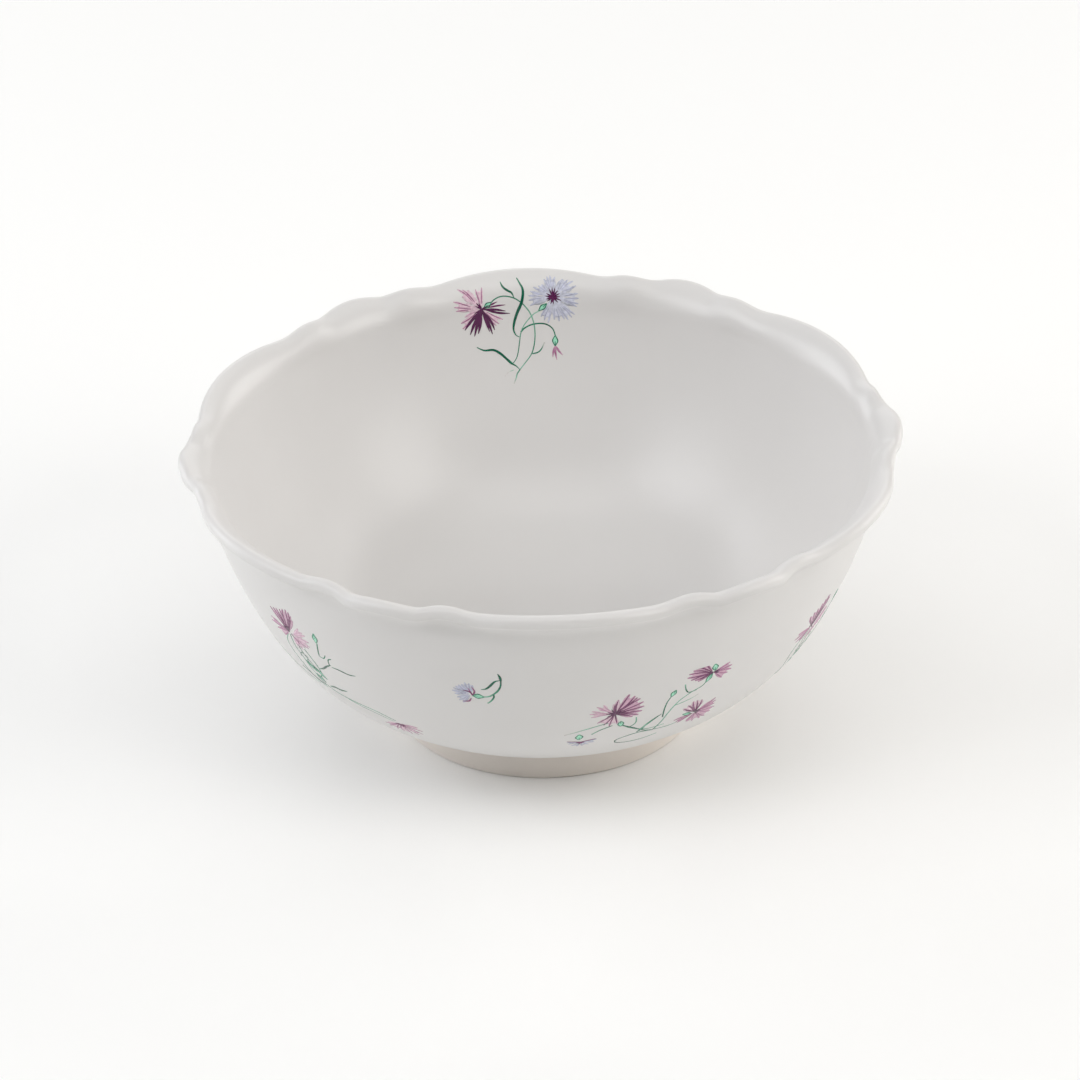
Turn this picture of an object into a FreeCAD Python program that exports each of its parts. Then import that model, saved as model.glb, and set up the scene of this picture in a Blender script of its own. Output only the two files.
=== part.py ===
import FreeCAD, Part
import math
import os
import Sketcher

# Porcelain serving bowl with a scalloped, turned-out lip, standing on a turned foot ring.
# Origin: centre of the foot's resting plane. +Z up. Azimuths run anticlockwise from +X;
# the bowl's front is at -Y. Lengths are in millimetres, angles in degrees.

V = FreeCAD.Vector

# ---------------------------------------------------------------- driving dimensions
DIMENSIONS = [
    ("foot_radius", 55.2, "outer radius of the foot ring where it rests"),
    ("foot_inner_radius", 50.8, "inner radius of the foot ring where it rests"),
    ("foot_top_radius", 57.4, "outer radius of the foot ring before it is fitted to the bowl"),
    ("foot_top_inner_radius", 47.6, "inner radius of the foot ring before it is fitted"),
    ("foot_blank_height", 15.0, "height of the foot ring before it is fitted to the bowl"),
    ("foot_edge_round", 0.9, "rounding of the resting edges"),
    ("underside_height", 11.1, "height of the bowl's underside above the table"),
    ("floor_radius", 36.8, "radius of the flat middle of the floor"),
    ("belly_radius", 75.3, "profile radius of the outside from the floor to the wall"),
    ("belly_slope", 61.2, "slope where the belly runs into the wall"),
    ("wall_radius", 184.0, "profile radius of the outside of the upper wall"),
    ("wall_slope", 76.0, "slope of the wall just below the lip"),
    ("wall_rise", 3.8, "straight length of the wall below the lip"),
    ("wall_thickness", 4.0, "thickness of the wall and the floor"),
    ("cove_radius", 9.7, "outside radius of the hollow below the lip"),
    ("lip_slope", 18.0, "slope of the lip at the crest of a lobe"),
    ("lip_thickness", 5.0, "thickness of the rounded lip"),
    ("lobe_groups", 6, "number of repeats of the lobe pattern round the rim"),
    ("first_lobe_azimuth", 33.8, "azimuth of the middle of one broad lobe"),
    ("broad_lobe_half", 15.3, "half the angle of a broad lobe"),
    ("narrow_lobe_half", 4.35, "half the angle of each narrow lobe beside it"),
    ("middle_lobe_half", 6.0, "half the angle of the pointed lobe between two narrow ones"),
    ("middle_flare_half", 8.4, "half the angle over which the pointed lobe leans out"),
    ("lobe_reach", 3.4, "how much further out a crest leans than the rim beside it"),
    ("scallop_depth", 2.1, "drop of the rim from a crest to a notch"),
    ("rim_warp", 1.2, "rise of the rim at the front and back, and its fall at the sides"),
    ("rim_twist", 0.4, "rise of the rim at the front left and back right"),
    ("enamel_thickness", 0.15, "thickness of the painted enamel"),
    ("stem_width", 1.6, "width of a painted stem"),
]

doc = FreeCAD.newDocument("serving_bowl")
sheet = doc.addObject("Spreadsheet::Sheet", "dimensions")
for row, (alias, value, note) in enumerate(DIMENSIONS, start=1):
    sheet.set("A%d" % row, alias)
    sheet.set("B%d" % row, str(value))
    sheet.set("C%d" % row, note)
    sheet.setAlias("B%d" % row, alias)
doc.recompute()


def size(alias):
    """Value of one driving dimension."""
    return float(getattr(sheet, alias))


# ---------------------------------------------------------------- profile of the bowl
class Profile:
    """Walks along the outside of the bowl's section and keeps a station at every step.

    A station is (radius, height, slope in radians, thickness, share of the lobes' lean)."""

    def __init__(self, radius, height):
        self.radius = radius
        self.height = height
        self.slope = 0.0
        self.stations = []

    def mark(self, thickness, lean):
        self.stations.append((self.radius, self.height, self.slope, thickness, lean))

    def walk(self, length, turn, steps, thickness=None, lean=(0.0, 0.0)):
        """Follow a straight run (turn 0) or an arc of the given length."""
        start = thickness[0] if thickness else size("wall_thickness")
        end = thickness[1] if thickness else size("wall_thickness")
        for step in range(1, steps + 1):
            half_turn = turn / steps / 2.0
            chord = length / steps
            if turn:
                chord *= math.sin(half_turn) / half_turn
            self.slope += half_turn
            self.radius += chord * math.cos(self.slope)
            self.height += chord * math.sin(self.slope)
            self.slope += half_turn
            share = step / steps
            self.mark(start + (end - start) * share, lean[0] + (lean[1] - lean[0]) * share)


CAP_RADIUS = 9.0        # the flat discs that close the surface at the axis, above and below


def bowl_profile():
    """Stations along the outside of a crest's section, from the axis out to the lip."""
    wall = size("wall_thickness")
    lip = size("lip_thickness")
    belly_turn = math.radians(size("belly_slope"))
    wall_turn = math.radians(size("wall_slope")) - belly_turn
    cove_turn = math.radians(size("lip_slope") - size("wall_slope"))
    profile = Profile(CAP_RADIUS, size("underside_height"))
    profile.mark(wall, 0.0)
    profile.walk(size("floor_radius") - CAP_RADIUS, 0.0, 5)
    profile.walk(size("belly_radius") * belly_turn, belly_turn, 16)
    profile.walk(size("wall_radius") * wall_turn, wall_turn, 10)
    profile.walk(size("wall_rise"), 0.0, 2, lean=(0.0, 0.05))
    profile.walk(size("cove_radius") * -cove_turn, cove_turn, 7, (wall, lip), (0.05, 1.0))
    return profile.stations


def section_points(grow=0.0):
    """Outside, rounded lip and inside of a crest's section: (radius, height, lean share)."""
    outside = []
    inside = []
    for radius, height, slope, thickness, lean in bowl_profile():
        across = (-math.sin(slope), math.cos(slope))
        outside.append((radius - grow * across[0], height - grow * across[1], lean))
        reach = thickness + grow
        inside.append((radius + reach * across[0], height + reach * across[1], lean))
    radius, height, slope, thickness, lean = bowl_profile()[-1]
    half = thickness / 2.0
    centre = (radius - half * math.sin(slope), height + half * math.cos(slope))
    edge = []
    edge_steps = 9
    for step in range(1, edge_steps):
        angle = slope - math.pi / 2.0 + math.pi * step / edge_steps
        edge.append((centre[0] + (half + grow) * math.cos(angle),
                     centre[1] + (half + grow) * math.sin(angle), 1.0))
    return outside + edge + inside[::-1]


# ---------------------------------------------------------------- lobes of the rim
def lobe_angle(azimuth):
    """Angle from the middle of the nearest broad lobe, 0 to half a group."""
    group = 360.0 / size("lobe_groups")
    offset = (azimuth - size("first_lobe_azimuth")) % group
    return min(offset, group - offset)


def rim_lean(azimuth):
    """How far the rim is drawn in from a crest: 0 at a crest."""
    angle = lobe_angle(azimuth)
    half_group = 180.0 / size("lobe_groups")
    broad = 1.0 - (angle / size("broad_lobe_half")) ** 2
    middle = 1.0 - ((half_group - angle) / size("middle_flare_half")) ** 2
    return size("lobe_reach") * (max(0.0, broad, middle) - 1.0)


def rim_drop(azimuth):
    """Drop of the scallops, 0 at each crest and full at each notch, on the warped rim."""
    angle = lobe_angle(azimuth)
    broad = size("broad_lobe_half")
    narrow = size("narrow_lobe_half")
    middle = size("middle_lobe_half")
    if angle < broad:
        across = angle / broad
    elif angle < broad + 2.0 * narrow:
        across = (angle - broad - narrow) / narrow
    else:
        across = (angle - broad - 2.0 * narrow - middle) / middle
    turn = 2.0 * math.radians(azimuth)
    warp = -size("rim_warp") * math.cos(turn) + size("rim_twist") * math.sin(turn)
    return warp - size("scallop_depth") * across * across


POLES_PER_GROUP = 30


def bowl_surface(grow=0.0):
    """The bowl's whole skin as one smooth surface, closed by a small flat disc at each end."""
    section = section_points(grow)
    around = int(size("lobe_groups")) * POLES_PER_GROUP
    # a cubic spline runs just inside its poles, so the poles stand out by this much
    pole_reach = 3.0 / (2.0 + math.cos(2.0 * math.pi / around))
    poles = []
    for step in range(around):
        azimuth = 360.0 * step / around
        lean = rim_lean(azimuth)
        drop = rim_drop(azimuth)
        cos = math.cos(math.radians(azimuth))
        sin = math.sin(math.radians(azimuth))
        column = []
        for radius, height, share in section:
            reach = (radius + lean * share) * pole_reach
            column.append(V(reach * cos, reach * sin, height + drop * share))
        poles.append(column)
    along = len(section)
    surface = Part.BSplineSurface()
    surface.buildFromPolesMultsKnots(
        poles,
        [1] * (around + 1),
        [4] + [1] * (along - 4) + [4],
        list(range(around + 1)),
        list(range(along - 2)),
        True, False, 3, 3)
    return surface


def bowl_shape(grow=0.0):
    """Closed solid of the bowl, or of the bowl grown by an even skin."""
    skin = bowl_surface(grow).toShape()
    faces = [skin]
    for edge in skin.Edges:
        points = edge.discretize(5)
        if edge.isClosed() and max(p.z for p in points) - min(p.z for p in points) < 1e-6:
            faces.append(Part.Face(Part.Wire([edge])))
    shell = Part.Shell(faces)
    shell.sewShape()
    solid = Part.Solid(shell)
    if solid.Volume < 0.0:
        solid.reverse()
    return solid


bowl = doc.addObject("Part::Feature", "bowl_body")
bowl.Label = "bowl_body"
bowl.Shape = bowl_shape()
bowl.Placement = FreeCAD.Placement(V(0, 0, 0), FreeCAD.Rotation())


# ---------------------------------------------------------------- foot ring
def origin_plane(body, role):
    """The body's own origin plane with this role."""
    for feature in body.Origin.OriginFeatures:
        if feature.Role == role:
            return feature
    raise ValueError("no origin plane " + role)


def foot_blank():
    """Turned ring, taller than it ends up: its section leans in on both sides of the foot."""
    body = doc.addObject("PartDesign::Body", "foot_blank")
    sketch = body.newObject("Sketcher::SketchObject", "foot_section")
    sketch.AttachmentSupport = (origin_plane(body, "XZ_Plane"), [""])
    sketch.MapMode = "FlatFace"
    corners = [
        ("foot_inner_radius", None),
        ("foot_radius", None),
        ("foot_top_radius", "foot_blank_height"),
        ("foot_top_inner_radius", "foot_blank_height"),
    ]
    points = [V(size(across), size(up) if up else 0.0, 0) for across, up in corners]
    for start, end in zip(points, points[1:] + points[:1]):
        sketch.addGeometry(Part.LineSegment(start, end))
    for line in range(4):
        sketch.addConstraint(Sketcher.Constraint("Coincident", line, 2, (line + 1) % 4, 1))
    for line, (across, up) in enumerate(corners):
        index = sketch.addConstraint(
            Sketcher.Constraint("DistanceX", -1, 1, line, 1, size(across)))
        sketch.setExpression("Constraints[%d]" % index, "dimensions." + across)
        if up:
            index = sketch.addConstraint(
                Sketcher.Constraint("DistanceY", -1, 1, line, 1, size(up)))
            sketch.setExpression("Constraints[%d]" % index, "dimensions." + up)
        else:
            sketch.addConstraint(Sketcher.Constraint("PointOnObject", line, 1, -1))
    ring = body.newObject("PartDesign::Revolution", "foot_turning")
    ring.Profile = sketch
    ring.ReferenceAxis = (sketch, ["V_Axis"])
    ring.Angle = 360.0
    doc.recompute()
    resting = []
    for number, edge in enumerate(ring.Shape.Edges, start=1):
        circle = len(edge.Vertexes) == 1 or edge.isClosed()
        if circle and edge.BoundBox.ZMax < 1e-6:
            resting.append("Edge%d" % number)
    rounding = body.newObject("PartDesign::Fillet", "foot_rounding")
    rounding.Base = (ring, resting)
    rounding.setExpression("Radius", "dimensions.foot_edge_round")
    doc.recompute()
    return body


foot = doc.addObject("Part::Cut", "foot_ring")
foot.Label = "foot_ring"
foot.Base = foot_blank()
foot.Tool = bowl
doc.recompute()


# ---------------------------------------------------------------- painted enamel
# Each motif is drawn on a flat chart laid on the wall: x to the right and y up the wall,
# in millimetres, as a viewer facing the painted side sees it.
SPRAY_TALL = {
    "flowers": [(-6.0, 21.9, 8.0), (2.5, 14.5, 5.0), (29.7, -16.9, 7.5)],
    "stems": [
        [(-4.0, 15.0), (-1.2, 4.9), (0.0, -2.0), (6.3, -9.0), (20.7, -13.0)],
        [(9.0, 21.0), (6.0, 13.0), (3.0, 4.0), (0.0, -2.0)],
        [(1.0, 2.0), (9.0, 8.0), (18.0, 8.5)],
    ],
}
SPRAY_WIDE = {
    "flowers": [(-16.5, 17.0, 9.0), (17.5, 29.0, 8.0), (15.5, 7.0, 9.0), (-25.3, -0.5, 4.5)],
    "stems": [
        [(-13.0, 9.5), (-6.0, 4.0), (0.0, 0.0), (9.0, -1.5), (13.0, 0.5)],
        [(0.0, 0.0), (2.0, 11.0), (6.1, 18.0), (12.3, 22.5)],
        [(-21.0, 0.0), (-11.3, -3.2), (-5.0, -6.0), (0.0, 0.0)],
    ],
}
SPRIG = {
    "flowers": [(-6.5, 1.5, 4.5)],
    "stems": [[(-2.1, -0.3), (3.5, 1.5), (6.2, 6.5), (6.4, 13.4)], [(-0.6, 4.2), (5.1, 9.4)]],
}
SPRAY_INSIDE = {
    "flowers": [(-12.7, 14.0, 8.0), (14.4, 16.0, 7.5)],
    "stems": [
        [(-7.5, 18.0), (-1.0, 18.5), (4.5, 14.5), (7.0, 5.0), (5.3, -4.2), (0.8, -9.4)],
        [(8.5, 12.5), (3.0, 7.5), (0.8, 0.0), (-1.6, -6.8), (0.8, -9.4)],
        [(1.8, 4.6), (9.5, 8.1), (14.6, 3.0), (14.0, -4.5)],
        [(-14.5, 0.5), (-8.0, -1.8), (0.8, -9.4), (-1.5, -13.5)],
    ],
}

# name: (drawing, azimuth of the chart's origin)
OUTSIDE_HEIGHTS = {"tall": 56.8, "low": 46.5, "wide": 42.5, "sprig": 68.1}
OUTSIDE_DRAWINGS = {"tall": SPRAY_TALL, "low": SPRAY_TALL, "wide": SPRAY_WIDE, "sprig": SPRIG}
OUTSIDE_MOTIFS = {
    "left_spray": ("tall", 222.0),
    "front_sprig": ("sprig", 259.1),
    "right_spray": ("wide", 291.7),
    "side_spray": ("low", 332.6),
    "back_sprig": ("sprig", 10.0),
    "back_right_spray": ("wide", 48.0),
    "back_left_spray": ("tall", 110.0),
    "back_left_sprig": ("sprig", 155.0),
}
INSIDE_AZIMUTH = 94.3
INSIDE_HEIGHT = 85.4


class Wall:
    """One side of the wall as a chart: height and distance up the section."""

    def __init__(self, side):
        self.side = side
        self.points = []
        along = 0.0
        for radius, height, slope, thickness, lean in bowl_profile():
            if side == "inside":
                radius -= thickness * math.sin(slope)
                height += thickness * math.cos(slope)
            if self.points:
                along += math.dist((radius, height), self.points[-1][:2])
            self.points.append((radius, height, slope, along))

    def blend(self, column, value):
        """Radius, height, slope and distance where one of these has the value."""
        for low, high in zip(self.points, self.points[1:]):
            if low[column] <= value <= high[column]:
                share = (value - low[column]) / max(high[column] - low[column], 1e-9)
                return [a + (b - a) * share for a, b in zip(low, high)]
        raise ValueError("off the wall: %s" % value)

    def place(self, azimuth, height, right, up):
        """Point on the wall and the direction off it, for a point of a motif's chart."""
        along = self.blend(1, height)[3] + up
        radius, z, slope, along = self.blend(3, along)
        turn = 1.0 if self.side == "outside" else -1.0
        angle = math.radians(azimuth) + turn * right / radius
        point = V(radius * math.cos(angle), radius * math.sin(angle), z)
        normal = V(math.sin(slope) * math.cos(angle), math.sin(slope) * math.sin(angle),
                   -math.cos(slope))
        return point, normal * turn


CUTTER_REACH = 1.6       # how far a cutter stands each side of the painted face


def section_curve(points):
    """Section of the wall as the same spline that the bowl's surface has."""
    curve = Part.BSplineCurve()
    inner_knots = len(points) - 4
    curve.buildFromPolesMultsKnots(
        [V(radius, 0, height) for radius, height in points],
        [4] + [1] * inner_knots + [4],
        list(range(inner_knots + 2)),
        False, 3)
    return curve


FILM_HALF = 30.0         # half the angle of wall that one drawing can take


def wall_film():
    """Film of enamel over the outside of the wall, for a sector that faces +X."""
    film = size("enamel_thickness")
    wall = [(radius, height, slope) for radius, height, slope, _, _ in bowl_profile()]
    base = section_curve([(radius, height) for radius, height, _ in wall])
    top = section_curve([(radius + film * math.sin(slope), height - film * math.cos(slope))
                         for radius, height, slope in wall])
    edges = [
        base.toShape(),
        Part.LineSegment(base.EndPoint, top.EndPoint).toShape(),
        top.toShape(),
        Part.LineSegment(top.StartPoint, base.StartPoint).toShape(),
    ]
    face = Part.Face(Part.Wire(edges))
    face.rotate(V(0, 0, 0), V(0, 0, 1), -FILM_HALF)
    return face.revolve(V(0, 0, 0), V(0, 0, 1), 2.0 * FILM_HALF)


def fused(shapes):
    return shapes[0].multiFuse(shapes[1:]) if shapes[1:] else shapes[0]


def enamel(name, shape, azimuth):
    """Node of painted enamel, turned about the bowl's axis to its azimuth."""
    node = doc.addObject("Part::Feature", name)
    node.Label = name
    node.Shape = shape
    node.Placement = FreeCAD.Placement(V(0, 0, 0), FreeCAD.Rotation(V(0, 0, 1), azimuth))
    return node


def flower_cutters(wall, azimuth, height, flowers):
    cutters = []
    for right, up, radius in flowers:
        point, normal = wall.place(azimuth, height, right, up)
        cutters.append(Part.makeCylinder(
            radius, 2.0 * CUTTER_REACH, point - normal * CUTTER_REACH, normal))
    return cutters


STEM_REACH = 14.0        # how far a stem's cutter stands each side of the chart's plane


def stem_cutters(wall, azimuth, height, stems):
    """Upright-sided strips that follow the stems, square to the wall at the chart's origin."""
    half = size("stem_width") / 2.0
    normal = wall.place(azimuth, height, 0.0, 0.0)[1]
    cutters = []
    for stem in stems:
        points = [wall.place(azimuth, height, right, up)[0] for right, up in stem]
        left_side = []
        right_side = []
        for index, point in enumerate(points):
            before = points[max(index - 1, 0)]
            after = points[min(index + 1, len(points) - 1)]
            across = (after - before).cross(normal).normalize() * half
            start = point - normal * (point - points[0]).dot(normal)
            left_side.append(start - normal * STEM_REACH + across)
            right_side.append(start - normal * STEM_REACH - across)
        outline = left_side + right_side[::-1]
        strip = Part.Face(Part.makePolygon(outline + outline[:1]))
        cutters.append(strip.extrude(normal * 2.0 * STEM_REACH))
    return cutters


nodes = [bowl, foot]
outside_wall = Wall("outside")
outside_film = wall_film()
painted = {}
for kind, drawing in OUTSIDE_DRAWINGS.items():
    height = OUTSIDE_HEIGHTS[kind]
    flowers = fused(flower_cutters(outside_wall, 0.0, height, drawing["flowers"]))
    foliage = fused(stem_cutters(outside_wall, 0.0, height, drawing["stems"]))
    painted[kind] = (outside_film.common(flowers), outside_film.common(foliage))
for motif, (kind, azimuth) in OUTSIDE_MOTIFS.items():
    for part_name, shape in zip(("_flowers", "_foliage"), painted[kind]):
        nodes.append(enamel(motif + part_name, shape, azimuth))

# the inside drawing reaches up among the lobes, so it lies on the bowl's own skin
inside_wall = Wall("inside")
inside_origin = inside_wall.place(INSIDE_AZIMUTH, INSIDE_HEIGHT, 0.0, 0.0)[0]
middle_of_wall = math.hypot(inside_origin.x, inside_origin.y) + size("wall_thickness") / 2.0
grown_bowl = bowl_shape(size("enamel_thickness"))
for part_name, cutters in (
        ("_flowers", flower_cutters(inside_wall, INSIDE_AZIMUTH, INSIDE_HEIGHT,
                                    SPRAY_INSIDE["flowers"])),
        ("_foliage", stem_cutters(inside_wall, INSIDE_AZIMUTH, INSIDE_HEIGHT,
                                  SPRAY_INSIDE["stems"]))):
    film = grown_bowl.common(fused(cutters)).cut(bowl.Shape)
    films = [solid for solid in film.Solids if part_name == "_flowers" or math.hypot(
        solid.CenterOfMass.x, solid.CenterOfMass.y) < middle_of_wall]
    shape = films[0] if len(films) == 1 else Part.makeCompound(films)
    nodes.append(enamel("inside_spray" + part_name, shape, 0.0))

# ---------------------------------------------------------------- checks and files
doc.recompute()
for item in doc.Objects:
    if "Invalid" in item.State or "Error" in item.State:
        raise RuntimeError("%s failed: %s" % (item.Name, item.State))
for node in nodes:
    if node.Shape.isNull() or not node.Shape.isValid() or node.Shape.Volume <= 0.0:
        raise RuntimeError(node.Label + " is not a valid solid")

os.makedirs("parts", exist_ok=True)
for node in nodes:
    node.Shape.exportStep("parts/%s.step" % node.Label)
    box = node.Shape.BoundBox
    print("%-26s %2d solids %10.2f mm3  z %.2f to %.2f  x %.2f to %.2f" % (
        node.Label, len(node.Shape.Solids), node.Shape.Volume,
        box.ZMin, box.ZMax, box.XMin, box.XMax))
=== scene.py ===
import math
import random

import bpy
from mathutils import Matrix, Vector
from mathutils.bvhtree import BVHTree


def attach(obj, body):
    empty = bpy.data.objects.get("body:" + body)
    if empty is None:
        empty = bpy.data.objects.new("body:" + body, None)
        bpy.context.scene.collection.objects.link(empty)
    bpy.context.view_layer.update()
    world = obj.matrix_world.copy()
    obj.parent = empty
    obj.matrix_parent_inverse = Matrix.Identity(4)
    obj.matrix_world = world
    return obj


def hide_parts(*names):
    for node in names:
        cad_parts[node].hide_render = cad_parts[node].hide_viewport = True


# Looks for a porcelain serving bowl painted with cornflowers. Metres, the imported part's frame.
# The bowl and its foot keep their own meshes and get glaze materials. Each painted motif is
# made of brush strokes: thin domed ribbons of enamel that follow the wall.

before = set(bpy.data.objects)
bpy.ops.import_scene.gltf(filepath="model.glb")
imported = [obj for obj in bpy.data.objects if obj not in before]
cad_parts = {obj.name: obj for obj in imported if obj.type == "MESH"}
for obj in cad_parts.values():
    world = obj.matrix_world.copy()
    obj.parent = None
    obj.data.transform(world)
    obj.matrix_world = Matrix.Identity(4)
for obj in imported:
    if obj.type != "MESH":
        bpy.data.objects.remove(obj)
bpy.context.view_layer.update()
MM = 0.001
SEED = 7
rng = random.Random(SEED)


# ---------------------------------------------------------------- colours
def linear(channel):
    """One 0 to 255 display value as linear light."""
    value = channel / 255.0
    return value / 12.92 if value <= 0.04045 else ((value + 0.055) / 1.055) ** 2.4


def tint(red, green, blue, light=0.86):
    """Surface colour that looks like this display colour under the scene's light."""
    return tuple(min(linear(channel) / light, 0.95) for channel in (red, green, blue))


PLUM_DARK = tint(80, 26, 70)
PLUM = tint(108, 46, 90)
ROSE = tint(154, 98, 132)
PINK = tint(192, 152, 174)
PINK_WASH = tint(211, 183, 196)
BLUE = tint(168, 170, 192)
BLUE_WASH = tint(191, 193, 206)
GREEN_DARK = tint(8, 84, 62)
GREEN = tint(34, 118, 90)
GREEN_PALE = tint(122, 176, 152)
MINT = tint(146, 208, 180)
BARE = tint(206, 202, 199)
WHITE = (1.0, 1.0, 1.0)
BLACK = (0.0, 0.0, 0.0)
GLAZE_COLOUR = (0.715, 0.702, 0.690)
FOOT_COLOUR = (0.820, 0.760, 0.700)
SPECK_COLOUR = (0.42, 0.38, 0.34)
FLOOR_COLOUR = (0.95, 0.95, 0.94)


# ---------------------------------------------------------------- materials
def shader(name):
    """New node material; returns it with its tree and its Principled node."""
    material = bpy.data.materials.new(name)
    material.use_nodes = True
    tree = material.node_tree
    principled = tree.nodes["Principled BSDF"]
    return material, tree, principled


def texture(tree, kind, scale, detail=2.0):
    """Procedural texture in object coordinates (metres)."""
    place = tree.nodes.new("ShaderNodeTexCoord")
    node = tree.nodes.new(kind)
    node.inputs["Scale"].default_value = scale
    if "Detail" in node.inputs:
        node.inputs["Detail"].default_value = detail
    tree.links.new(place.outputs["Object"], node.inputs["Vector"])
    return node


def ramp(tree, source, stops):
    """Colour ramp over one value: stops are (position, colour)."""
    node = tree.nodes.new("ShaderNodeValToRGB")
    elements = node.color_ramp.elements
    while len(elements) < len(stops):
        elements.new(0.5)
    for element, (position, colour) in zip(elements, stops):
        element.position = position
        element.color = (*colour, 1.0)
    tree.links.new(source, node.inputs["Fac"])
    return node.outputs["Color"]


def multiplied(tree, first, second):
    """Product of two colours."""
    node = tree.nodes.new("ShaderNodeMix")
    node.data_type = "RGBA"
    node.blend_type = "MULTIPLY"
    node.inputs["Factor"].default_value = 1.0
    tree.links.new(first, node.inputs[6])
    tree.links.new(second, node.inputs[7])
    return node.outputs[2]


def bumped(tree, source, strength, distance):
    """Normal from a height value."""
    node = tree.nodes.new("ShaderNodeBump")
    node.inputs["Strength"].default_value = strength
    node.inputs["Distance"].default_value = distance
    tree.links.new(source, node.inputs["Height"])
    return node.outputs["Normal"]


def specks(tree, scale, size):
    """Grey brown in the few cells that hold a tiny speck, white elsewhere."""
    cells = texture(tree, "ShaderNodeTexVoronoi", scale)
    dots = ramp(tree, cells.outputs["Distance"], [(size * 0.6, SPECK_COLOUR), (size, WHITE)])
    chance = ramp(tree, cells.outputs["Color"], [(0.90, WHITE), (0.93, BLACK)])
    node = tree.nodes.new("ShaderNodeMix")
    node.data_type = "RGBA"
    tree.links.new(chance, node.inputs["Factor"])
    tree.links.new(dots, node.inputs[6])
    node.inputs[7].default_value = (*WHITE, 1.0)
    return node.outputs[2]


def porcelain(name, colour, roughness, coat, speck_size):
    """White porcelain under a clear glaze, with clouding, specks and a faintly uneven surface."""
    material, tree, principled = shader(name)
    clouds = texture(tree, "ShaderNodeTexNoise", 14.0, 3.0)
    low = tuple(channel * 0.985 for channel in colour)
    high = tuple(min(channel * 1.012, 1.0) for channel in colour)
    base = ramp(tree, clouds.outputs["Fac"], [(0.35, low), (0.65, high)])
    base = multiplied(tree, base, specks(tree, 190.0, speck_size))
    tree.links.new(base, principled.inputs["Base Color"])
    swell = texture(tree, "ShaderNodeTexNoise", 55.0, 1.0)
    grain = texture(tree, "ShaderNodeTexNoise", 900.0, 2.0)
    both = tree.nodes.new("ShaderNodeMath")
    both.operation = "MULTIPLY_ADD"
    both.inputs[1].default_value = 0.04
    tree.links.new(grain.outputs["Fac"], both.inputs[0])
    tree.links.new(swell.outputs["Fac"], both.inputs[2])
    normal = bumped(tree, both.outputs[0], 0.35, 0.00025)
    tree.links.new(normal, principled.inputs["Normal"])
    tree.links.new(normal, principled.inputs["Coat Normal"])
    principled.inputs["Roughness"].default_value = roughness
    principled.inputs["IOR"].default_value = 1.5
    principled.inputs["Coat Weight"].default_value = coat
    principled.inputs["Coat Roughness"].default_value = 0.06
    return material


def enamel_paint(name, roughness):
    """Overglaze enamel that takes its colour from each brush stroke."""
    material, tree, principled = shader(name)
    stroke = tree.nodes.new("ShaderNodeAttribute")
    stroke.attribute_name = "stroke"
    mottle = texture(tree, "ShaderNodeTexNoise", 900.0, 3.0)
    shade = ramp(tree, mottle.outputs["Fac"], [(0.3, (0.80, 0.80, 0.80)), (0.7, (1.12, 1.12, 1.12))])
    tree.links.new(multiplied(tree, stroke.outputs["Color"], shade), principled.inputs["Base Color"])
    grain = texture(tree, "ShaderNodeTexNoise", 2200.0, 1.0)
    tree.links.new(bumped(tree, grain.outputs["Fac"], 0.2, 0.00005), principled.inputs["Normal"])
    principled.inputs["Roughness"].default_value = roughness
    principled.inputs["IOR"].default_value = 1.52
    return material


GLAZE = porcelain("porcelain_glaze", GLAZE_COLOUR, 0.32, 0.0, 0.075)
FOOT = porcelain("foot_biscuit", FOOT_COLOUR, 0.38, 0.10, 0.085)
FLOWER_PAINT = enamel_paint("enamel_flower", 0.24)
GREEN_PAINT = enamel_paint("enamel_green", 0.22)


def dress(node, material):
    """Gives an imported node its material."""
    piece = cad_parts[node]
    piece.data.materials.clear()
    piece.data.materials.append(material)
    return piece


bowl = dress("bowl_body", GLAZE)
dress("foot_ring", FOOT)


# ---------------------------------------------------------------- the wall as a drawing surface
TREE = BVHTree.FromPolygons([vertex.co for vertex in bowl.data.vertices],
                            [polygon.vertices for polygon in bowl.data.polygons])
OUTSIDE_START = 0.2      # radius from which the outside is looked for
CURVE_STEPS = 12         # straight steps between two given points of a curve


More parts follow.
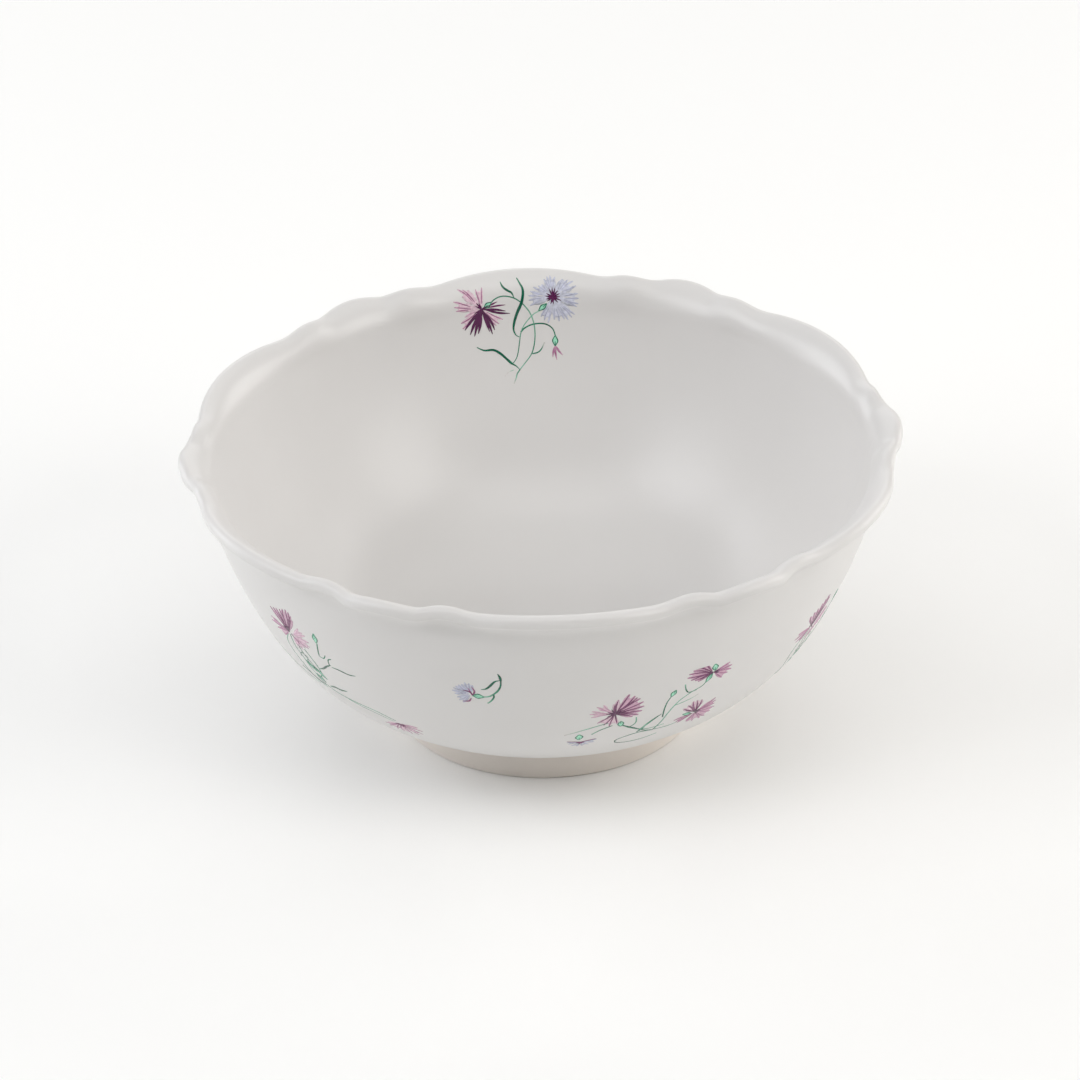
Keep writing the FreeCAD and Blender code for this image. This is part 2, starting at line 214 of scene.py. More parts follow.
class Chart:
    """A flat drawing laid on the wall: right and up in millimetres from its origin."""

    STEP = 0.0005
    REACH = 34.0         # how far the drawing may go up or down, in millimetres

    def __init__(self, side, azimuth, height):
        self.turn = 1.0 if side == "outside" else -1.0
        self.azimuth = math.radians(azimuth)
        self.out = Vector((math.cos(self.azimuth), math.sin(self.azimuth), 0.0))
        start = self.out * (OUTSIDE_START if side == "outside" else 0.0)
        start.z = height
        origin = TREE.ray_cast(start, -self.out * self.turn)[0]
        rows = [(0.0, origin.dot(self.out), height)]
        self.rows = self.walk(rows[0], -1.0)[::-1] + rows + self.walk(rows[0], 1.0)

    def nearest(self, azimuth, radius, height):
        """Closest point of the bowl and the direction off its painted side."""
        guess = Vector((radius * math.cos(azimuth), radius * math.sin(azimuth), height))
        point, normal, _, _ = TREE.find_nearest(guess)
        return point, normal

    def walk(self, row, sense):
        """Stations up (or down) the section from one station, a step apart."""
        rows = []
        along, radius, height = row
        heading = Vector((0.0, 0.0, sense))
        while abs(along) < self.REACH * MM:
            normal = self.nearest(self.azimuth, radius, height)[1]
            flat = Vector((normal.dot(self.out), 0.0, normal.z)).normalized()
            tangent = Vector((-flat.z, 0.0, flat.x))
            heading = tangent if tangent.dot(heading) > 0.0 else -tangent
            radius += heading.x * self.STEP
            height += heading.z * self.STEP
            point = self.nearest(self.azimuth, radius, height)[0]
            radius, height = point.dot(self.out), point.z
            along += sense * self.STEP
            rows.append((along, radius, height))
        return rows

    def place(self, right, up, lift):
        """Point of the drawing on the wall, raised by lift metres."""
        step = (up * MM - self.rows[0][0]) / self.STEP
        index = min(max(int(step), 0), len(self.rows) - 2)
        share = min(max(step - index, 0.0), 1.0)
        below, above = self.rows[index], self.rows[index + 1]
        radius = below[1] + (above[1] - below[1]) * share
        height = below[2] + (above[2] - below[2]) * share
        azimuth = self.azimuth + self.turn * right * MM / radius
        point, normal = self.nearest(azimuth, radius, height)
        return point + normal * lift


def resampled(points, spacing):
    """Smooth curve through the points, as evenly spaced (x, y, share of the way along)."""
    ends = [points[0]] + list(points) + [points[-1]]
    dense = []
    for index in range(1, len(ends) - 2):
        before, start, end, after = ends[index - 1:index + 3]
        for step in range(CURVE_STEPS):
            t = step / CURVE_STEPS
            row = []
            for axis in (0, 1):
                a, b, c, d = before[axis], start[axis], end[axis], after[axis]
                row.append(0.5 * (2 * b + (c - a) * t + (2 * a - 5 * b + 4 * c - d) * t * t
                                  + (3 * b - a - 3 * c + d) * t ** 3))
            dense.append(row)
    dense.append(list(points[-1]))
    lengths = [0.0]
    for start, end in zip(dense, dense[1:]):
        lengths.append(lengths[-1] + math.dist(start, end))
    count = max(4, int(lengths[-1] / spacing) + 1)
    result = []
    index = 0
    for step in range(count + 1):
        target = lengths[-1] * step / count
        while index < len(lengths) - 2 and lengths[index + 1] < target:
            index += 1
        span = max(lengths[index + 1] - lengths[index], 1e-9)
        share = (target - lengths[index]) / span
        x = dense[index][0] + (dense[index + 1][0] - dense[index][0]) * share
        y = dense[index][1] + (dense[index + 1][1] - dense[index][1]) * share
        result.append((x, y, step / count))
    return result


def blended(values, share):
    """Value at a share of the way along a list, in straight steps."""
    place = share * (len(values) - 1)
    index = min(int(place), len(values) - 2)
    part = place - index
    first, second = values[index], values[index + 1]
    if isinstance(first, tuple):
        return tuple(a + (b - a) * part for a, b in zip(first, second))
    return first + (second - first) * part


# across a stroke: (share of the half width, height above the layer in mm, brightness)
SECTION = [(-1.0, 0.0, 0.88), (-0.62, 0.7, 1.0), (0.0, 1.0, 1.06), (0.62, 0.7, 1.0), (1.0, 0.0, 0.88)]
DOME = 0.022             # mm of enamel at the middle of a stroke
SUNK = -0.035            # mm, underside of every stroke, below the glaze
LAYER = 0.022            # mm from one layer of paint to the next
LOWEST = 0.006           # mm, edge of the lowest layer above the glaze
FINEST = 0.07            # mm, narrowest width of a stroke
SUNK_SHADE = 0.85        # brightness of the sunk edges


class Painting:
    """Collects brush strokes on one chart and turns them into one mesh."""

    def __init__(self, chart):
        self.chart = chart
        self.stem_scale = 1.3 if chart.turn > 0.0 else 1.1
        self.points = []
        self.faces = []
        self.colours = []

    def stroke(self, points, widths, colours, layer=1, spacing=0.45):
        """One ribbon of enamel along the points; widths in mm and colours run along it."""
        path = resampled(points, spacing)
        first = len(self.points)
        base = LOWEST + LAYER * layer
        for index, (x, y, share) in enumerate(path):
            before = path[max(index - 1, 0)]
            after = path[min(index + 1, len(path) - 1)]
            run = math.hypot(after[0] - before[0], after[1] - before[1]) or 1.0
            across = (-(after[1] - before[1]) / run, (after[0] - before[0]) / run)
            half = max(blended(widths, share), FINEST) / 2.0
            colour = blended(colours, share)
            ring = [(SECTION[0][0], SUNK, SUNK_SHADE)]
            ring += [(side, base + DOME * rise, shade) for side, rise, shade in SECTION]
            ring += [(SECTION[-1][0], SUNK, SUNK_SHADE)]
            for side, lift, shade in ring:
                self.points.append(self.chart.place(
                    x + across[0] * side * half, y + across[1] * side * half, lift * MM))
                self.colours.append((*[min(channel * shade, 1.0) for channel in colour], 1.0))
        size = len(SECTION) + 2
        turned = self.chart.turn < 0.0
        self.face(list(range(first, first + size)), not turned)
        for row in range(len(path) - 1):
            start = first + row * size
            for column in range(size):
                beside = (column + 1) % size
                self.face([start + column, start + beside,
                           start + size + beside, start + size + column], turned)
        last = first + (len(path) - 1) * size
        self.face(list(range(last, last + size)), turned)

    def face(self, corners, turned):
        """One face; turned ones have their corners in reverse."""
        self.faces.append(corners[::-1] if turned else corners)

    def fan(self, centre, tips, width, line, wash, start=0.25, layer=2):
        """Petal of a cornflower: a pale wash under strokes that run out to each tip."""
        middle = (sum(tip[0] for tip in tips) / len(tips), sum(tip[1] for tip in tips) / len(tips))
        spread = max(math.dist(tips[0], tips[-1]), 1.6)
        if wash:
            near = [centre[axis] + (middle[axis] - centre[axis]) * 0.12 for axis in (0, 1)]
            far = [centre[axis] + (middle[axis] - centre[axis]) * 0.86 for axis in (0, 1)]
            self.stroke([near, far], [0.9, spread * 0.72, spread * 1.02, spread * 0.95],
                        [wash, wash], 0, 0.5)
        for tip in tips:
            bend = rng.uniform(-0.06, 0.06)
            start_point = [centre[axis] + (middle[axis] - centre[axis]) * start
                           + (tip[axis] - middle[axis]) * start * 0.7 for axis in (0, 1)]
            across = (-(tip[1] - start_point[1]), tip[0] - start_point[0])
            half_way = [start_point[axis] * 0.45 + tip[axis] * 0.55 + across[axis] * bend
                        for axis in (0, 1)]
            shade = rng.uniform(0.88, 1.12)
            colour = tuple(channel * shade for channel in line)
            self.stroke([start_point, half_way, tip],
                        [width * 0.35, width * 0.9, width * 0.85, width * 0.2],
                        [colour, colour, colour], layer)
            if wash:
                self.stroke([half_way, tip], [width * 1.9, width * 2.3, width * 0.9],
                            [wash, wash], 0, 0.6)

    def eye(self, centre, reach, colour, angles):
        """Dark middle of a flower: short strokes out of one point."""
        for angle in angles:
            length = reach * rng.uniform(0.8, 1.15)
            turn = math.radians(angle)
            tip = (centre[0] + length * math.cos(turn), centre[1] + length * math.sin(turn))
            self.stroke([centre, tip], [0.35, 0.62, 0.5, 0.12], [colour, colour], 4)

    def leaf(self, points, width, tones=None):
        """Leaf or stem with a darker body and a swelling in its middle."""
        tones = tones or [GREEN, GREEN_DARK, GREEN_DARK, GREEN]
        self.stroke(points, [width * 0.3, width * 0.85, width, width * 0.8, width * 0.2], tones, 2)

    def stem(self, points, width=0.38, tones=None):
        """Thin stem of nearly even width."""
        tones = tones or [GREEN, GREEN, GREEN_PALE]
        width *= self.stem_scale
        self.stroke(points, [width, width, width * 0.8], tones, 1)

    def bud(self, base, tip, width):
        """Green bud or calyx: a mint body with a dark outline on both sides."""
        middle = [(base[axis] + tip[axis]) / 2.0 for axis in (0, 1)]
        run = math.dist(base, tip) or 1.0
        across = (-(tip[1] - base[1]) / run, (tip[0] - base[0]) / run)
        self.stroke([base, tip], [width * 0.4, width, width, width * 0.35], [MINT, MINT], 2, 0.35)
        for side in (-1.0, 1.0):
            bow = [middle[axis] + across[axis] * side * width * 0.52 for axis in (0, 1)]
            self.stroke([base, bow, tip], [0.22, 0.42, 0.22], [GREEN_DARK, GREEN], 3, 0.35)
        self.stroke([middle, tip], [0.14, 0.3, 0.16], [GREEN, GREEN_DARK], 4, 0.35)

    def piece(self, name, material, node, slot):
        """The finished mesh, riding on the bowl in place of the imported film."""
        mesh = bpy.data.meshes.new(name)
        mesh.from_pydata(self.points, [], self.faces)
        mesh.validate()
        layer = mesh.color_attributes.new("stroke", "FLOAT_COLOR", "POINT")
        for index, colour in enumerate(self.colours):
            layer.data[index].color = colour
        for polygon in mesh.polygons:
            polygon.use_smooth = True
        mesh.materials.append(material)
        piece = bpy.data.objects.new(name, mesh)
        bpy.context.collection.objects.link(piece)
        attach(piece, "root")
        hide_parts(node)
        return piece


# ---------------------------------------------------------------- the drawings
def inside_spray(flowers, foliage):
    """Spray below the back of the rim: a plum flower, a blue flower, a hanging bud."""
    plum = (-12.7, 15.0)
    for tips in ([(-23.4, 19.0), (-23.2, 17.0), (-22.6, 15.4)],
                 [(-21.5, 23.4), (-19.6, 23.0), (-18.2, 21.4)]):
        flowers.fan(plum, tips, 0.42, ROSE, PINK_WASH, 0.4)
    flowers.fan(plum, [(-16.0, 11.6), (-19.2, 12.6)], 0.5, PINK, PINK_WASH)
    flowers.fan(plum, [(-14.6, 22.6), (-12.2, 23.1)], 0.42, ROSE, PINK_WASH)
    flowers.fan(plum, [(-20.8, 10.4), (-20.2, 8.2)], 0.6, ROSE, PINK_WASH)
    flowers.fan(plum, [(-6.2, 8.6), (-4.8, 10.2), (-7.4, 8.0)], 0.45, ROSE, PINK_WASH)
    flowers.fan(plum, [(-3.6, 15.8), (-6.6, 17.2)], 0.75, PLUM, None)
    flowers.fan(plum, [(-2.0, 12.4), (-3.6, 13.4)], 0.95, PLUM_DARK, None, 0.1, 3)
    flowers.fan(plum, [(-17.4, 5.6), (-15.8, 4.8), (-14.3, 5.6), (-19.4, 7.6)],
                1.35, PLUM_DARK, None, 0.1, 3)
    flowers.fan(plum, [(-10.0, 6.0), (-8.9, 4.9), (-8.0, 6.4)], 1.15, PLUM_DARK, None, 0.1, 3)
    flowers.eye(plum, 3.0, PLUM_DARK, (150, 128, 112, 20, -10, -60, -90, -120, -150))

    blue = (14.4, 18.1)
    for tips in ([(11.4, 25.0), (12.6, 26.0), (13.8, 26.4), (15.6, 25.8)],
                 [(18.2, 24.4), (20.4, 24.6), (22.4, 24.2), (23.4, 22.4)],
                 [(24.0, 19.6), (24.2, 17.8), (24.0, 15.8), (23.4, 14.6)],
                 [(22.4, 11.6), (21.2, 10.4), (19.8, 9.4)],
                 [(18.4, 9.6), (16.4, 8.8), (14.6, 9.4)],
                 [(12.2, 8.2), (10.8, 9.2), (9.6, 10.6)],
                 [(5.6, 15.0), (5.2, 17.0), (5.2, 18.8), (6.0, 20.4)],
                 [(7.2, 22.0), (9.2, 22.4), (10.4, 22.8)]):
        flowers.fan(blue, tips, 0.40, BLUE, BLUE_WASH, 0.45)
    flowers.eye(blue, 3.3, PLUM_DARK, (112, 92, 74, 52, 28, 4, -22, -48, -88, -110, 150, 172, 196, 215))
    flowers.eye(blue, 1.7, PLUM, (100, 45, -5, -60, -100, 180))
    flowers.stroke([(16.3, 20.2), (16.5, 20.4)], [0.3, 0.34, 0.2], [PLUM_DARK, PLUM_DARK], 4, 0.12)

    for tip in ((13.4, -5.0), (14.9, -6.0), (17.2, -4.2), (16.2, -2.6)):
        flowers.stroke([(14.5, -0.6), ((14.5 + tip[0]) / 2 - 0.2, tip[1] / 2 - 0.3), tip],
                       [0.4, 0.8, 0.7, 0.2], [PINK, ROSE, PINK], 2)

    foliage.leaf([(1.2, 25.9), (2.2, 23.7), (3.1, 21.7), (3.2, 19.5), (2.5, 16.3), (1.4, 13.9),
                  (0.3, 11.4), (-0.6, 8.5), (-0.9, 6.0), (-0.1, 3.9), (1.2, 3.1)], 1.15)
    foliage.stem([(-8.9, 17.1), (-7.6, 18.2), (-5.5, 19.0), (-3.1, 19.0), (-0.2, 18.1), (2.1, 16.5),
                  (4.1, 14.4), (5.8, 11.6), (6.8, 8.2), (7.1, 4.8), (6.9, 1.5), (6.2, -1.8),
                  (5.1, -4.2), (3.2, -6.6), (0.8, -9.4)],
                 0.42, [GREEN, GREEN, GREEN_PALE, GREEN, GREEN_PALE])
    foliage.leaf([(-5.1, 24.7), (-4.2, 22.6), (-2.5, 21.1), (-1.1, 20.2), (-0.2, 18.3)], 0.85)
    foliage.stem([(8.9, 12.8), (6.8, 11.6), (4.7, 9.5), (3.0, 7.3), (1.8, 4.6), (1.1, 0.9),
                  (0.6, -2.0), (-0.2, -4.8), (-1.6, -6.8)], 0.36, [GREEN_PALE, GREEN_PALE, GREEN, GREEN])
    foliage.stem([(1.8, 4.9), (3.3, 6.4), (6.2, 7.7), (9.5, 8.0), (12.0, 7.4), (13.9, 5.8),
                  (14.7, 3.3)], 0.5, [GREEN, GREEN, GREEN_DARK, GREEN])
    foliage.bud((14.7, 3.3), (14.5, -0.7), 1.9)
    foliage.bud((-8.9, 17.2), (-11.8, 15.2), 1.7)
    foliage.bud((8.8, 12.9), (12.0, 15.7), 1.6)
    foliage.leaf([(-15.1, 0.5), (-12.4, -1.0), (-8.9, -1.2), (-6.5, -2.6), (-4.5, -4.5), (-2.6, -6.6),
                  (-0.6, -7.9), (0.8, -9.4)], 0.95)
    foliage.stem([(-4.6, -4.2), (-3.0, -5.6), (-1.6, -7.0)], 0.3)
    foliage.stem([(0.8, -9.4), (-0.3, -11.0), (-0.8, -12.6), (-1.7, -14.6)],
                 0.42, [GREEN, GREEN_PALE, BARE])
    foliage.stem([(5.8, -3.5), (7.8, -3.1), (9.2, -1.9), (10.6, 0.8)], 0.45, [GREEN, GREEN, BARE])
    foliage.stem([(-1.6, -9.4), (-3.6, -10.2), (-5.0, -11.6)], 0.24, [GREEN_PALE, BARE, BARE])


def spray_wide(flowers, foliage):
    """Three cornflowers on spreading stems with a small blue one low on the left."""
    left = (-17.0, 17.4)
    for tips in ([(-26.2, 18.9), (-25.3, 16.8), (-25.6, 20.6)],
                 [(-24.3, 23.0), (-22.0, 23.8), (-23.4, 21.6)]):
        flowers.fan(left, tips, 0.5, PINK, PINK_WASH)
    flowers.fan(left, [(-17.1, 26.0), (-18.0, 23.4)], 0.75, PLUM, PINK_WASH, 0.12)
    for tips in ([(-13.6, 28.2), (-11.4, 26.8), (-10.4, 25.6)], [(-9.2, 24.7), (-7.6, 22.2), (-6.9, 19.3)],
                 [(-7.2, 16.6), (-8.2, 14.4), (-10.2, 13.8)]):
        flowers.fan(left, tips, 0.8, PLUM, PINK, 0.1)
    flowers.fan(left, [(-17.7, 9.4), (-15.1, 10.4), (-19.9, 10.6), (-22.4, 12.4)],
                0.6, PLUM, PINK_WASH, 0.12)
    flowers.eye(left, 3.4, PLUM_DARK, (172, 150, 120, 92, 60, 30, 5, -30, -75, -110, -150))

    top = (17.9, 29.2)
    for tips in ([(12.8, 37.2), (11.2, 36.0), (10.2, 35.2)], [(9.2, 33.6), (7.8, 32.2), (7.4, 30.4)],
                 [(9.0, 28.4), (10.8, 27.5), (12.6, 27.2)]):
        flowers.fan(top, tips, 0.72, PLUM, PINK, 0.16)
    for tips in ([(24.4, 31.7), (25.6, 29.6)], [(25.7, 27.3), (24.4, 25.8), (22.2, 24.0)]):
        flowers.fan(top, tips, 0.62, ROSE, PINK, 0.16)
    flowers.eye(top, 2.8, PLUM_DARK, (165, 185, 205, 150, -15, 5, 15, -30))

    right = (15.4, 5.2)
    for tips in ([(9.6, 10.5), (11.2, 11.8), (12.9, 13.8)], [(14.4, 13.8), (16.4, 13.2)]):
        flowers.fan(right, tips, 0.85, PLUM, PINK_WASH, 0.12)
    for tips in ([(22.8, 10.8), (23.4, 8.8), (23.4, 6.6)], [(24.0, 3.8), (23.0, 0.6), (21.4, -2.1)],
                 [(19.4, -2.9), (16.4, -3.0), (13.6, -1.4)], [(8.4, 1.4), (7.4, 3.2), (9.4, 0.4)]):
        flowers.fan(right, tips, 0.55, ROSE, PINK, 0.14)
    flowers.eye(right, 2.6, PLUM_DARK, (130, 105, 80, 30, -10, -60, 40))

    low = (-25.6, -1.0)
    for tips in ([(-30.4, -0.8), (-29.6, -2.4)], [(-28.0, -4.2), (-26.0, -5.0)],
                 [(-24.2, -4.8), (-22.2, -3.8)],
                 [(-20.6, -2.0), (-20.2, 0.4)]):
        flowers.fan(low, tips, 0.4, BLUE, BLUE_WASH)
    for tip in ((-30.6, 0.2), (-20.6, 1.0)):
        flowers.stroke([low, tip], [0.5, 0.5, 0.15], [PLUM, ROSE], 3)
    flowers.eye(low, 1.6, PLUM, (-60, -90, -120, 200, -20))

    foliage.stem([(0.0, 0.0), (2.0, 5.5), (3.6, 11.0), (6.1, 16.6), (10.2, 20.6), (14.2, 22.6),
                  (15.8, 24.8)],
                 0.4, [GREEN, GREEN_PALE, GREEN_PALE, GREEN])
    foliage.stem([(7.2, 26.8), (8.0, 23.6), (9.6, 21.2), (12.6, 21.4)],
                 0.4, [GREEN_PALE, GREEN_DARK, GREEN])
    foliage.stem([(5.2, 15.0), (8.2, 15.6), (11.2, 16.6), (14.0, 18.2)],
                 0.32, [GREEN_PALE, GREEN_PALE, BARE])
    foliage.stem([(1.8, 8.8), (1.5, 14.0), (1.8, 18.4), (2.8, 21.6)], 0.42, [GREEN_DARK, GREEN])
    foliage.bud((2.7, 21.4), (4.0, 25.0), 1.9)
    foliage.bud((15.6, 24.4), (17.6, 28.8), 1.8)
    foliage.bud((17.8, 33.8), (18.6, 30.0), 2.2)
    foliage.stem([(-14.6, 11.2), (-12.4, 8.4), (-8.0, 5.2), (-3.6, 1.6), (0.0, 0.0)],
                 0.45, [GREEN, GREEN_DARK, GREEN])
    foliage.stem([(-8.6, 12.8), (-8.2, 8.8), (-10.4, 6.0)], 0.38, [GREEN_PALE, GREEN])
    foliage.stem([(-12.8, 8.6), (-9.2, 5.6), (-5.6, 3.4), (-1.6, 2.2), (3.6, 3.0)],
                 0.34, [GREEN, GREEN, GREEN_PALE])
    foliage.bud((-13.4, 8.2), (-14.0, 11.8), 2.0)
    foliage.leaf([(-6.2, 1.2), (-3.9, 5.4), (-1.6, 8.6), (1.0, 11.4)],
                 1.0, [GREEN, GREEN_PALE, GREEN, GREEN_DARK])
    foliage.stem([(-6.2, 1.2), (-4.6, 3.0), (-3.9, 5.4)], 0.5, [GREEN_DARK, GREEN])
    foliage.stem([(0.0, 0.0), (-4.4, 0.6), (-9.6, -1.0), (-12.6, -3.2), (-12.0, -6.0), (-8.4, -7.4),
                  (-4.4, -7.4), (-0.8, -6.4), (2.6, -4.4)],
                 0.42, [GREEN, GREEN, GREEN_DARK, GREEN, GREEN_PALE])
    foliage.stem([(0.6, 0.2), (5.6, 0.2), (9.0, 1.4)], 0.34, [GREEN, GREEN_PALE])
    foliage.stem([(-32.6, 5.6), (-28.4, 7.6), (-23.6, 9.8), (-18.4, 11.8)], 0.42, [BARE, GREEN_PALE, GREEN])
    foliage.stem([(-23.0, 4.6), (-20.6, 7.2), (-16.6, 9.6)], 0.42, [GREEN_PALE, GREEN, GREEN])
    foliage.bud((-27.4, 5.4), (-26.6, 1.2), 2.4)
    foliage.bud((10.2, 6.4), (13.9, 5.0), 1.7)


def spray_tall(flowers, foliage, runner=True):
    """A tall double flower over a tangle of stems, with a low flower to the right."""
    plum = (-7.2, 17.6)
    for tips in ([(-17.4, 19.6), (-18.2, 17.2)], [(-15.8, 14.6), (-12.4, 13.2)]):
        flowers.fan(plum, tips, 0.6, ROSE, PINK, 0.12)
    for tips in ([(-14.2, 26.4), (-12.0, 27.2), (-10.0, 27.8)], [(-7.5, 28.8), (-5.4, 29.8), (-3.5, 30.6)],
                 [(-2.1, 30.0), (-1.4, 28.4), (-2.0, 26.4)]):
        flowers.fan(plum, tips, 0.8, PLUM, PINK, 0.10)
    flowers.eye(plum, 3.4, PLUM_DARK, (130, 112, 95, 80, 66, 150))
    rose = (-5.6, 16.4)
    for tips in ([(0.2, 23.2), (1.8, 21.8), (2.8, 20.8)], [(3.6, 17.8), (2.8, 15.0), (1.6, 13.6)],
                 [(-0.6, 12.6), (-3.2, 10.4), (-5.2, 9.6)]):
        flowers.fan(rose, tips, 0.5, PINK, PINK_WASH, 0.2)
    flowers.stroke([(-6.4, 17.0), (-4.4, 15.0), (-3.4, 13.0)], [0.5, 0.5, 0.2], [PLUM, ROSE], 3)

    low = (27.6, -17.0)
    for tips in ([(19.4, -21.0), (19.8, -23.4), (22.4, -24.4)], [(24.6, -25.0), (28.0, -25.2)],
                 [(31.4, -24.0), (34.2, -22.0)], [(35.9, -18.8), (35.4, -16.0)]):
        flowers.fan(low, tips, 0.5, ROSE, PINK_WASH, 0.14)
    flowers.eye(low, 2.4, PLUM, (200, 230, 260, 290, 320, 350))

    foliage.stem([(-7.4, 16.2), (-8.0, 10.0), (-6.4, 4.6), (-5.4, -0.6), (-3.6, -5.6)],
                 0.36, [GREEN, GREEN, GREEN_PALE])
    foliage.stem([(-9.0, 15.4), (-12.4, 10.2), (-12.6, 4.6), (-10.0, -2.6), (-7.0, -8.4), (-2.4, -11.0)],
                 0.34, [GREEN_PALE, GREEN, GREEN, GREEN_PALE])
    foliage.stem([(-2.0, 11.4), (-0.6, 8.4), (0.8, 4.4), (1.0, 0.6), (-1.0, -3.4), (-4.0, -4.9)], 0.42)
    foliage.stem([(-5.0, 12.0), (-4.6, 7.8), (-3.0, 4.4), (-1.4, 1.2), (0.4, -2.0)], 0.36)
    foliage.stem([(8.6, 20.0), (7.4, 16.4), (6.4, 12.6)], 0.45, [GREEN, GREEN_DARK, GREEN])
    foliage.bud((8.4, 20.2), (9.0, 25.2), 2.1)
    foliage.stem([(6.2, 12.4), (8.4, 12.2), (10.2, 14.6)], 0.36, [GREEN, GREEN])
    foliage.leaf([(1.6, 2.6), (4.6, 4.6), (7.6, 7.4), (10.6, 9.6)], 0.8)
    foliage.stem([(9.8, 9.4), (10.6, 12.4), (12.6, 13.8)], 0.4, [GREEN_DARK, GREEN])
    foliage.leaf([(10.6, 8.6), (14.4, 8.8), (18.4, 8.4), (21.8, 9.4)], 0.65)
    foliage.stem([(-7.4, 4.5), (-6.0, 7.2), (-3.2, 6.4), (-4.4, 3.0), (-2.0, 0.6)],
                 0.34, [GREEN_DARK, GREEN])
    foliage.bud((-1.8, -1.2), (-6.0, 3.4), 1.7)
    foliage.bud((2.2, -3.4), (-2.4, 2.2), 1.6)
    foliage.bud((-0.6, -7.0), (-3.4, -3.0), 1.6)
    foliage.stem([(-4.0, -4.9), (-2.6, -8.2), (1.4, -10.2), (6.3, -11.2), (13.0, -11.6), (20.7, -12.2),
                  (27.0, -15.2)],
                 0.40, [GREEN_DARK, GREEN, GREEN, GREEN_PALE, GREEN])
    foliage.stem([(8.0, -11.8), (14.0, -13.2), (20.0, -14.4), (25.8, -16.4)],
                 0.3, [GREEN_PALE, GREEN, GREEN_PALE])
    foliage.leaf([(0.7, -8.4), (4.0, -6.8), (7.6, -6.4), (11.0, -5.2)], 1.0)
    if runner:
        foliage.stem([(-32.3, -1.9), (-28.4, -5.0), (-23.0, -7.4), (-18.3, -9.2), (-12.5, -10.3),
                      (-6.2, -11.4)], 0.36, [BARE, GREEN_PALE, GREEN, GREEN_PALE])
    foliage.leaf([(-12.8, -4.8), (-9.0, -6.4), (-5.4, -8.6), (-2.0, -9.2)], 0.9)


def spray_short(flowers, foliage):
    """The tall spray without the runner on its left."""
    spray_tall(flowers, foliage, runner=False)


def sprig(flowers, foliage):
    """One half-open blue flower on a short curved stem."""
    heart = (-4.9, 2.0)
    for tips in ([(-11.4, 3.1), (-10.6, 1.4), (-10.8, 4.6)], [(-9.9, 5.7), (-8.8, 6.6), (-7.6, 7.2)],
                 [(-6.5, 8.2), (-5.0, 8.0), (-3.9, 7.2)], [(-9.9, -0.6), (-9.3, -2.2), (-8.0, -3.4)]):
        flowers.fan(heart, tips, 0.55, BLUE, BLUE_WASH)
    flowers.stroke([(-4.2, 1.4), (-3.4, 3.8), (-4.2, 6.4)], [0.4, 0.75, 0.6, 0.2], [PLUM, ROSE], 3)
    flowers.stroke([(-4.2, 1.6), (-5.2, 3.4), (-7.4, 4.0)], [0.4, 0.7, 0.6, 0.2], [PLUM, PLUM], 4)
    flowers.stroke([(-4.4, 1.4), (-5.0, 4.0), (-5.6, 5.4)], [0.35, 0.5, 0.2], [PLUM, ROSE], 3)
    flowers.stroke([(-4.9, -0.4), (-5.9, -2.2), (-8.2, -2.6)], [0.3, 0.7, 0.6, 0.2], [ROSE, PLUM], 3)
    foliage.bud((-0.3, 1.0), (-4.4, 1.4), 2.3)
    foliage.stem([(-0.4, 1.0), (1.6, 1.6), (3.4, 3.2), (5.0, 5.4), (6.0, 8.0), (6.3, 11.0)],
                 0.55, [GREEN_PALE, GREEN, GREEN_DARK])
    foliage.leaf([(6.3, 9.8), (6.2, 12.2), (5.5, 14.4)], 0.95, [GREEN_DARK, GREEN_DARK])
    foliage.leaf([(5.9, 10.9), (4.1, 10.0), (2.4, 7.6), (0.8, 5.8), (-1.0, 5.2)], 0.95)
    foliage.stem([(3.1, 3.0), (3.1, 1.2), (2.0, -1.0), (0.6, -2.6)], 0.5, [GREEN_DARK, GREEN, GREEN_PALE])


# name: (drawing, painted side, azimuth in degrees and height of its origin)
MOTIFS = {
    "inside_spray": (inside_spray, "inside", 94.3, 0.0854),
    "left_spray": (spray_tall, "outside", 222.0, 0.0568),
    "front_sprig": (sprig, "outside", 259.1, 0.0681),
    "right_spray": (spray_wide, "outside", 291.7, 0.0425),
    "side_spray": (spray_short, "outside", 332.6, 0.0465),
    "back_sprig": (sprig, "outside", 10.0, 0.0681),
    "back_right_spray": (spray_wide, "outside", 48.0, 0.0425),
    "back_left_spray": (spray_tall, "outside", 110.0, 0.0568),
    "back_left_sprig": (sprig, "outside", 155.0, 0.0681),
}
for motif, (drawing, side, azimuth, height) in MOTIFS.items():
    chart = Chart(side, azimuth, height)
    flowers = Painting(chart)
    foliage = Painting(chart)
    drawing(flowers, foliage)
    flowers.piece(motif + "_petals", FLOWER_PAINT, motif + "_flowers", "enamel_flower")
    foliage.piece(motif + "_stems", GREEN_PAINT, motif + "_foliage", "enamel_green")


# ---------------------------------------------------------------- floor, light and camera
FLOOR_WIDTH = 12.0


def make_floor():
    """Wide pale floor."""
    half = FLOOR_WIDTH / 2.0
    mesh = bpy.data.meshes.new("floor")
    mesh.from_pydata([(-half, -half, 0), (half, -half, 0), (half, half, 0), (-half, half, 0)],
                     [], [(0, 1, 2, 3)])
    material, _, principled = shader("floor_paper")
    principled.inputs["Base Color"].default_value = (*FLOOR_COLOUR, 1.0)
    principled.inputs["Roughness"].default_value = 0.6
    principled.inputs["Specular IOR Level"].default_value = 0.2
    mesh.materials.append(material)
    floor = bpy.data.objects.new("floor", mesh)
    bpy.context.collection.objects.link(floor)


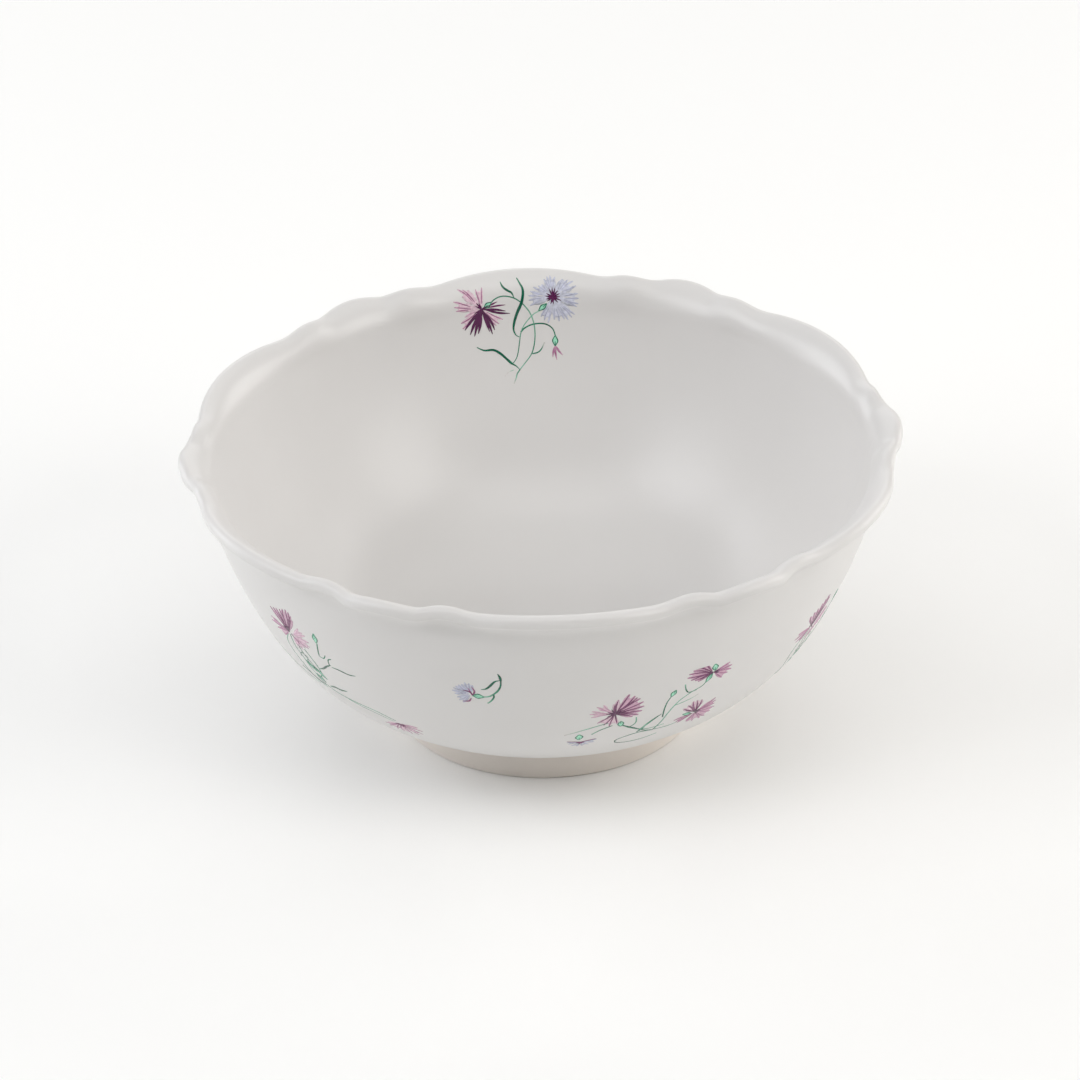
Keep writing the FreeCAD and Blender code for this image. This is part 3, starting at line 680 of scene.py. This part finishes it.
def softbox(name, place, target, width, height, power, colour):
    """Large rectangular light that faces a point."""
    data = bpy.data.lights.new(name, "AREA")
    data.shape = "RECTANGLE"
    data.size = width
    data.size_y = height
    data.energy = power
    data.color = colour
    lamp = bpy.data.objects.new(name, data)
    lamp.location = place
    lamp.rotation_euler = (Vector(target) - Vector(place)).to_track_quat("-Z", "Y").to_euler()
    bpy.context.collection.objects.link(lamp)


# name: (place, aim, width, height, power in watts, colour)
LIGHTS = {
    "overhead": ((0.0, 0.15, 2.2), (0.0, 0.0, 0.0), 2.6, 2.6, 15.4, (1.00, 1.00, 0.99)),
    "high_front": ((0.0, -1.25, 2.4), (0.0, 0.0, 0.0), 2.4, 1.2, 14.6, (1.00, 0.99, 0.98)),
    "left_box": ((-1.75, -0.80, 1.35), (0.0, 0.0, 0.05), 1.3, 1.3, 19.8, (0.97, 0.98, 1.00)),
    "right_box": ((1.75, -0.95, 1.20), (0.0, 0.0, 0.05), 1.3, 1.3, 20.6, (1.00, 0.98, 0.95)),
    "left_side": ((-2.0, 0.9, 0.8), (0.0, 0.0, 0.05), 1.6, 1.4, 21.4, (0.97, 0.98, 1.00)),
    "right_side": ((2.0, 0.9, 0.8), (0.0, 0.0, 0.05), 1.6, 1.4, 21.6, (1.00, 0.98, 0.96)),
    "back_box": ((0.0, 2.2, 1.1), (0.0, 0.0, 0.05), 2.4, 1.4, 14.6, (1.00, 0.99, 0.98)),
}

world = bpy.data.worlds.new("studio")
world.use_nodes = True
backdrop = world.node_tree.nodes["Background"]
backdrop.inputs["Color"].default_value = (*BLACK, 1.0)
backdrop.inputs["Strength"].default_value = 1.0
bpy.context.scene.world = world
make_floor()
for name, settings in LIGHTS.items():
    softbox(name, *settings)

CAMERA_PLACE = Vector((-0.00045, -1.578706, 0.989169))
CAMERA_RIGHT = Vector((0.9997604, -0.0106527, -0.0191224))
CAMERA_UP = Vector((0.0218847, 0.5045510, 0.8631045))
CAMERA_LENS = 169.67     # mm
SENSOR_WIDTH = 36.0      # mm

camera_data = bpy.data.cameras.new("camera")
camera_data.lens = CAMERA_LENS
camera_data.sensor_width = SENSOR_WIDTH
camera = bpy.data.objects.new("camera", camera_data)
bpy.context.collection.objects.link(camera)
turned = Matrix((CAMERA_RIGHT, CAMERA_UP, CAMERA_RIGHT.cross(CAMERA_UP))).transposed()
camera.matrix_world = Matrix.Translation(CAMERA_PLACE) @ turned.to_4x4()
bpy.context.scene.camera = camera
bpy.context.scene.view_settings.view_transform = "Standard"
